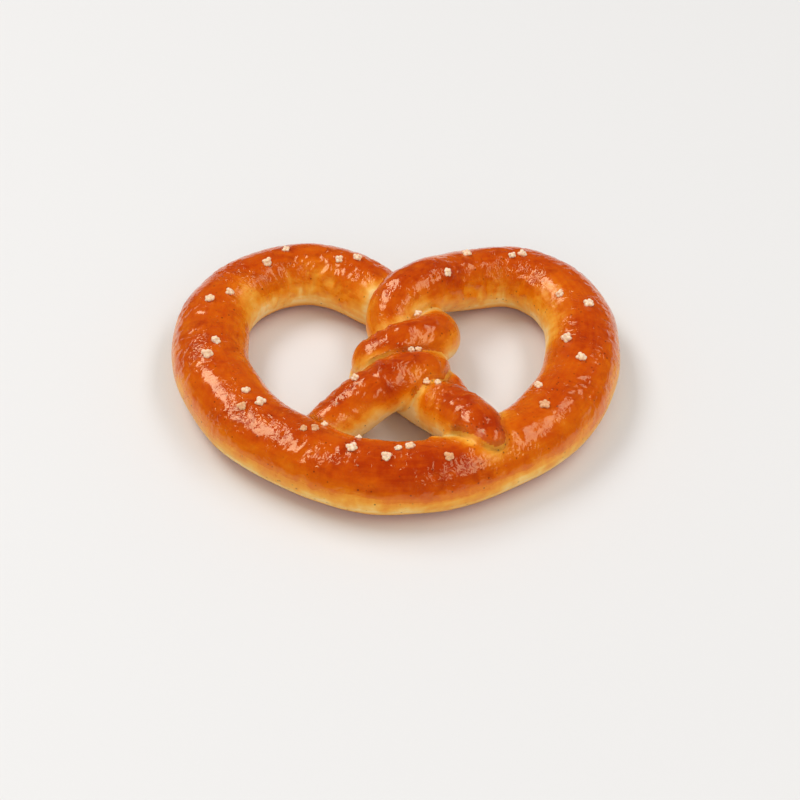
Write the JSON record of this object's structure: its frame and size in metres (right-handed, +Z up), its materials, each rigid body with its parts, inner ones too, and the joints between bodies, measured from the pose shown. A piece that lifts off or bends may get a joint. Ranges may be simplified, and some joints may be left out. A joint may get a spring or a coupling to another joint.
{
  "type": "soft pretzel",
  "caption": "Soft baked pretzel: a glossy golden-brown rope of dough, crossed and twisted in the middle, its ends pressed on to the front arc, strewn with coarse salt.",
  "frame": {"origin": "middle of the footprint, on the surface the pretzel rests on", "axes": "+X to the right lobe, +Y from the front arc to the notch between the lobes, +Z up out of the resting surface"},
  "size_m": [0.1674, 0.1442, 0.0292],
  "materials": {
    "crust": "glossy egg-washed crust, deep orange-brown on top and pale golden low on the sides",
    "salt": "matte, slightly toasted coarse salt"
  },
  "bodies": {
    "root": {"baked_dough": "crust", "salt_grain_01": "salt", "salt_grain_02": "salt", "salt_grain_03": "salt", "salt_grain_04": "salt", "salt_grain_05": "salt", "salt_grain_06": "salt", "salt_grain_07": "salt", "salt_grain_08": "salt", "salt_grain_09": "salt", "salt_grain_10": "salt", "salt_grain_11": "salt", "salt_grain_12": "salt", "salt_grain_13": "salt", "salt_grain_14": "salt", "salt_grain_15": "salt", "salt_grain_16": "salt", "salt_grain_17": "salt", "salt_grain_18": "salt", "salt_grain_19": "salt", "salt_grain_20": "salt", "salt_grain_21": "salt", "salt_grain_22": "salt", "salt_grain_23": "salt", "salt_grain_24": "salt", "salt_grain_25": "salt", "salt_grain_26": "salt", "salt_grain_27": "salt", "salt_grain_28": "salt", "salt_grain_29": "salt", "salt_grain_30": "salt", "salt_grain_31": "salt", "salt_grain_32": "salt", "salt_grain_33": "salt", "salt_grain_34": "salt", "salt_grain_35": "salt", "salt_grain_36": "salt"}
  },
  "joints": []
}
